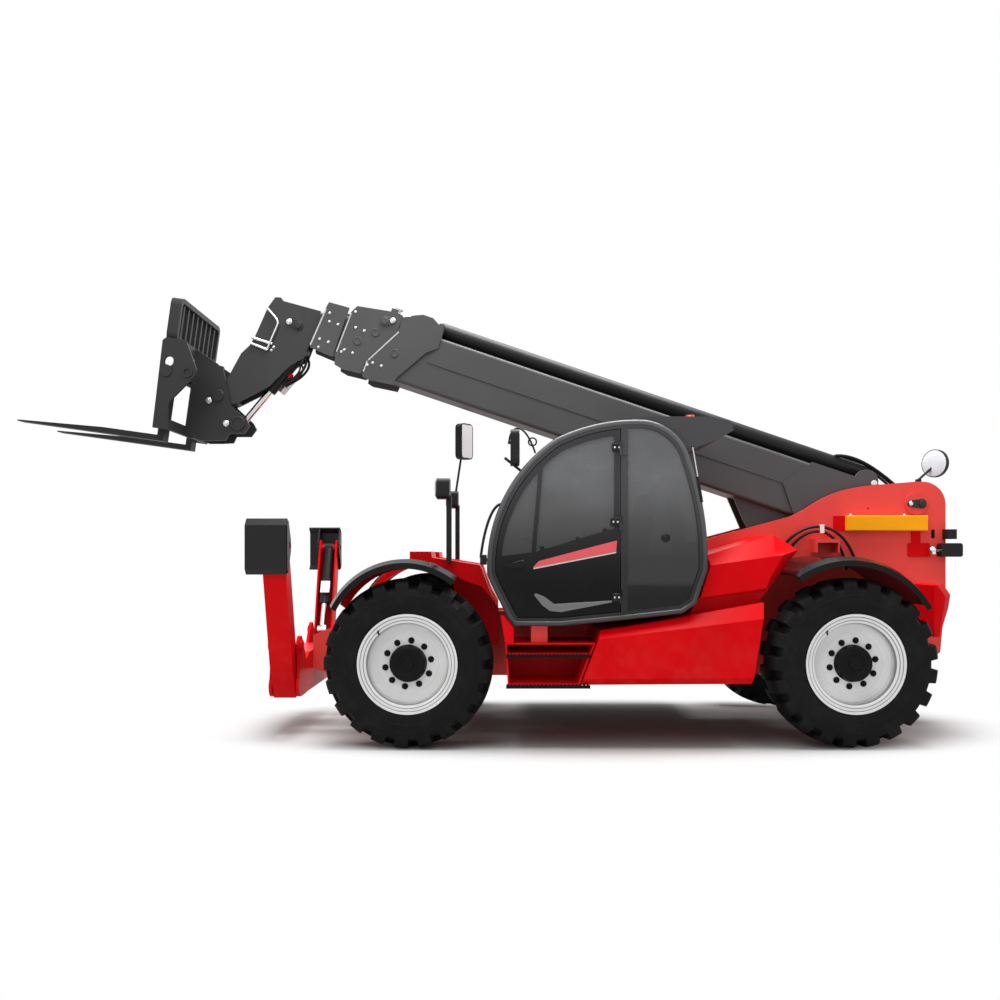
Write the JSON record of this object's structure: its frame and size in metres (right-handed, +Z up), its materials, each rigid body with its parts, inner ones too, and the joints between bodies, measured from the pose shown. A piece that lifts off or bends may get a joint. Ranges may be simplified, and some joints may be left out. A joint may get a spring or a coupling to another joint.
{
  "type": "telehandler",
  "caption": "Telescopic handler with a nested boom that lifts and extends, a tilting fork carriage, a side cab, steered wheels and fold-down front stabilizers.",
  "frame": {"origin": "middle of the length and width, on the ground", "axes": "+X forward to the forks, +Y to the cab side, +Z up"},
  "size_m": [7.665, 2.43, 3.5853],
  "materials": {
    "red_paint": "gloss",
    "charcoal_paint": "satin",
    "black_paint": "satin",
    "chrome": "polished",
    "black_plastic": "matte",
    "glass": "clear",
    "seat_cover": "woven",
    "amber": "gloss",
    "orange_paint": "satin",
    "rim_paint": "satin",
    "tyre": "matte"
  },
  "bodies": {
    "chassis": {"chassis_frame": "red_paint", "counterweight": "red_paint", "front_axle": "charcoal_paint", "rear_axle": "charcoal_paint", "cab_shell": "red_paint", "cab_glass": "glass", "cab_interior": "black_plastic", "seat": "seat_cover", "beacon": "amber", "side_tank": "red_paint", "steps": "black_plastic", "bodywork": "red_paint", "engine": "charcoal_paint", "fenders": "black_plastic", "lamps_and_mirrors": "black_plastic", "side_bar": "orange_paint", "stabilizer_beam": "red_paint"},
    "boom_1": {"boom_1": "charcoal_paint", "extension_barrel": "charcoal_paint"},
    "boom_2": {"boom_2": "charcoal_paint", "extension_rod": "chrome"},
    "boom_3": {"boom_3": "charcoal_paint"},
    "boom_4": {"boom_4": "charcoal_paint", "tilt_barrel": "charcoal_paint"},
    "carriage": {"hitch": "charcoal_paint", "fork_carriage": "charcoal_paint", "forks": "charcoal_paint"},
    "tilt_rod": {"tilt_rod": "chrome"},
    "lift_barrel": {"lift_barrel": "charcoal_paint"},
    "lift_rod": {"lift_rod": "chrome"},
    "door": {"door_frame": "black_paint", "door_glass": "glass"},
    "hood": {"engine_hood": "red_paint"},
    "left_stabilizer_leg": {"left_stabilizer_leg": "red_paint", "left_stabilizer_pad": "black_paint"},
    "left_stabilizer_barrel": {"left_stabilizer_barrel": "charcoal_paint"},
    "left_stabilizer_rod": {"left_stabilizer_rod": "chrome"},
    "front_left_knuckle": {"front_left_knuckle": "charcoal_paint"},
    "front_left_wheel": {"front_left_rim": "rim_paint", "front_left_tyre": "tyre"},
    "rear_left_knuckle": {"rear_left_knuckle": "charcoal_paint"},
    "rear_left_wheel": {"rear_left_rim": "rim_paint", "rear_left_tyre": "tyre"},
    "right_stabilizer_leg": {"right_stabilizer_leg": "red_paint", "right_stabilizer_pad": "black_paint"},
    "right_stabilizer_barrel": {"right_stabilizer_barrel": "charcoal_paint"},
    "right_stabilizer_rod": {"right_stabilizer_rod": "chrome"},
    "front_right_knuckle": {"front_right_knuckle": "charcoal_paint"},
    "front_right_wheel": {"front_right_rim": "rim_paint", "front_right_tyre": "tyre"},
    "rear_right_knuckle": {"rear_right_knuckle": "charcoal_paint"},
    "rear_right_wheel": {"rear_right_rim": "rim_paint", "rear_right_tyre": "tyre"}
  },
  "joints": [
    {"name": "front_left_steer", "type": "hinge", "parent": "chassis", "child": "front_left_knuckle", "pos_m": [0.604, 0.9, 0.625], "axis": [0, 0, 1], "range_deg": [-30, 30]},
    {"name": "front_left_spin", "type": "hinge", "parent": "front_left_knuckle", "child": "front_left_wheel", "pos_m": [0.604, 1.01, 0.625], "axis": [0, 1, 0], "continuous": true},
    {"name": "front_right_steer", "type": "hinge", "parent": "chassis", "child": "front_right_knuckle", "pos_m": [0.604, -0.9, 0.625], "axis": [0, 0, 1], "range_deg": [-30, 30]},
    {"name": "front_right_spin", "type": "hinge", "parent": "front_right_knuckle", "child": "front_right_wheel", "pos_m": [0.604, -1.01, 0.625], "axis": [0, 1, 0], "continuous": true},
    {"name": "rear_left_steer", "type": "hinge", "parent": "chassis", "child": "rear_left_knuckle", "pos_m": [-2.657, 0.9, 0.625], "axis": [0, 0, 1], "range_deg": [-30, 30]},
    {"name": "rear_left_spin", "type": "hinge", "parent": "rear_left_knuckle", "child": "rear_left_wheel", "pos_m": [-2.657, 1.01, 0.625], "axis": [0, 1, 0], "continuous": true},
    {"name": "rear_right_steer", "type": "hinge", "parent": "chassis", "child": "rear_right_knuckle", "pos_m": [-2.657, -0.9, 0.625], "axis": [0, 0, 1], "range_deg": [-30, 30]},
    {"name": "rear_right_spin", "type": "hinge", "parent": "rear_right_knuckle", "child": "rear_right_wheel", "pos_m": [-2.657, -1.01, 0.625], "axis": [0, 1, 0], "continuous": true},
    {"name": "boom_lift", "type": "hinge", "parent": "chassis", "child": "boom_1", "pos_m": [-3.498, 0, 1.847], "axis": [0, -1, 0], "range_deg": [-21.7, 51.3]},
    {"name": "lift_barrel_swing", "type": "hinge", "parent": "chassis", "child": "lift_barrel", "pos_m": [-3.598, 0, 0.647], "axis": [0, -1, 0], "range_deg": [-11.28, 26.68]},
    {"name": "lift_rod_slide", "type": "slide", "parent": "lift_barrel", "child": "lift_rod", "axis": [0.8182, 0, 0.5749], "range_m": [-0.30163, 0.71307]},
    {"name": "boom_2_slide", "type": "slide", "parent": "boom_1", "child": "boom_2", "axis": [0.9472, 0, 0.3206], "range_m": [0, 3.3]},
    {"name": "boom_3_slide", "type": "slide", "parent": "boom_2", "child": "boom_3", "axis": [0.9472, 0, 0.3206], "range_m": [0, 3.3]},
    {"name": "boom_4_slide", "type": "slide", "parent": "boom_3", "child": "boom_4", "axis": [0.9472, 0, 0.3206], "range_m": [0, 3.3]},
    {"name": "fork_tilt", "type": "hinge", "parent": "boom_4", "child": "carriage", "pos_m": [2.2902, 0, 2.75575], "axis": [0, 1, 0], "range_deg": [-30, 60]},
    {"name": "tilt_rod_slide", "type": "slide", "parent": "boom_4", "child": "tilt_rod", "axis": [0.6403, 0, -0.7681], "range_m": [-0.276, 0.138]},
    {"name": "left_stabilizer_swing", "type": "hinge", "parent": "chassis", "child": "left_stabilizer_leg", "pos_m": [1.58, 0.76, 0.41], "axis": [-1, 0, 0], "range_deg": [0, 88]},
    {"name": "left_stabilizer_barrel_swing", "type": "hinge", "parent": "left_stabilizer_leg", "child": "left_stabilizer_barrel", "pos_m": [1.58, 1.12, 1.49], "axis": [-1, 0, 0], "range_deg": [0, 9.68]},
    {"name": "left_stabilizer_rod_slide", "type": "slide", "parent": "left_stabilizer_barrel", "child": "left_stabilizer_rod", "axis": [0, -0.4263, -0.9046], "range_m": [0, 0.3872]},
    {"name": "right_stabilizer_swing", "type": "hinge", "parent": "chassis", "child": "right_stabilizer_leg", "pos_m": [1.58, -0.76, 0.41], "axis": [1, 0, 0], "range_deg": [0, 88]},
    {"name": "right_stabilizer_barrel_swing", "type": "hinge", "parent": "right_stabilizer_leg", "child": "right_stabilizer_barrel", "pos_m": [1.58, -1.12, 1.49], "axis": [1, 0, 0], "range_deg": [0, 9.68]},
    {"name": "right_stabilizer_rod_slide", "type": "slide", "parent": "right_stabilizer_barrel", "child": "right_stabilizer_rod", "axis": [0, 0.4263, -0.9046], "range_m": [0, 0.3872]},
    {"name": "door_swing", "type": "hinge", "parent": "chassis", "child": "door", "pos_m": [-0.951, 1.161, 1.6], "axis": [0, 0, 1], "range_deg": [0, 95]},
    {"name": "hood_swing", "type": "hinge", "parent": "chassis", "child": "hood", "pos_m": [-1, -0.285, 1.31], "axis": [-1, 0, 0], "range_deg": [0, 60]}
  ],
  "couplings": [
    {"joint": "front_right_steer", "follows": "front_left_steer", "ratio": 1},
    {"joint": "rear_right_steer", "follows": "rear_left_steer", "ratio": 1},
    {"joint": "lift_barrel_swing", "follows": "boom_lift", "ratio": 0.52},
    {"joint": "lift_rod_slide", "follows": "boom_lift", "m_per_rad": 0.79641},
    {"joint": "boom_3_slide", "follows": "boom_2_slide", "ratio": 1},
    {"joint": "boom_4_slide", "follows": "boom_2_slide", "ratio": 1},
    {"joint": "tilt_rod_slide", "follows": "fork_tilt", "m_per_rad": -0.26356},
    {"joint": "left_stabilizer_barrel_swing", "follows": "left_stabilizer_swing", "ratio": 0.11},
    {"joint": "left_stabilizer_rod_slide", "follows": "left_stabilizer_swing", "m_per_rad": 0.2521},
    {"joint": "right_stabilizer_barrel_swing", "follows": "right_stabilizer_swing", "ratio": 0.11},
    {"joint": "right_stabilizer_rod_slide", "follows": "right_stabilizer_swing", "m_per_rad": 0.2521}
  ]
}
